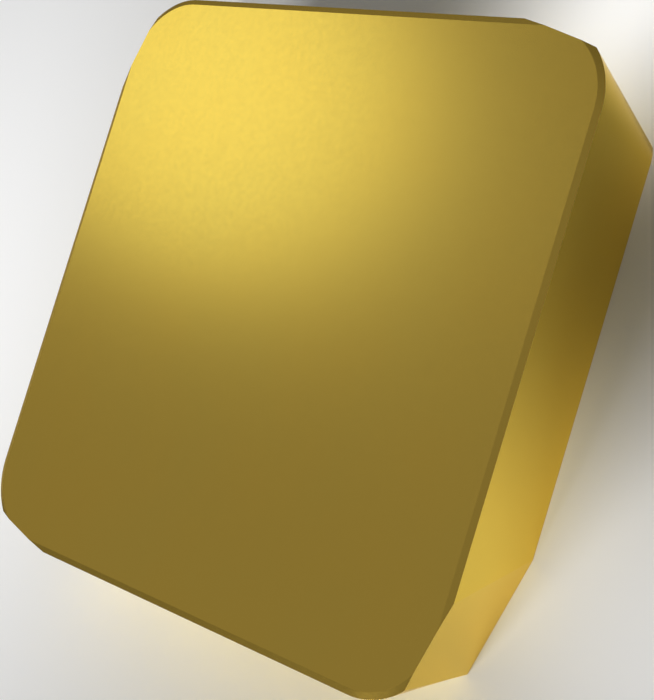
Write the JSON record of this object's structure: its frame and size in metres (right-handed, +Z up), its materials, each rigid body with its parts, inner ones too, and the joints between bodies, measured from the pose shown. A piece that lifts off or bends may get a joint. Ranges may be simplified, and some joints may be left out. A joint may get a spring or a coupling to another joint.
{
  "type": "carbide insert",
  "caption": "Square indexable milling insert with positive flanks, a chamfered cutting edge, and a wiper facet and nose radius at each corner.",
  "frame": {"origin": "middle of the bottom seat, on the surface that the insert lies on", "axes": "+Z up through the rake face, the shortest way through the plate; +X and +Y square to two neighbouring flanks"},
  "size_m": [0.0126, 0.0126, 0.0032],
  "materials": {
    "coated_carbide": null
  },
  "bodies": {
    "root": {"carbide_insert": "coated_carbide"}
  },
  "joints": []
}
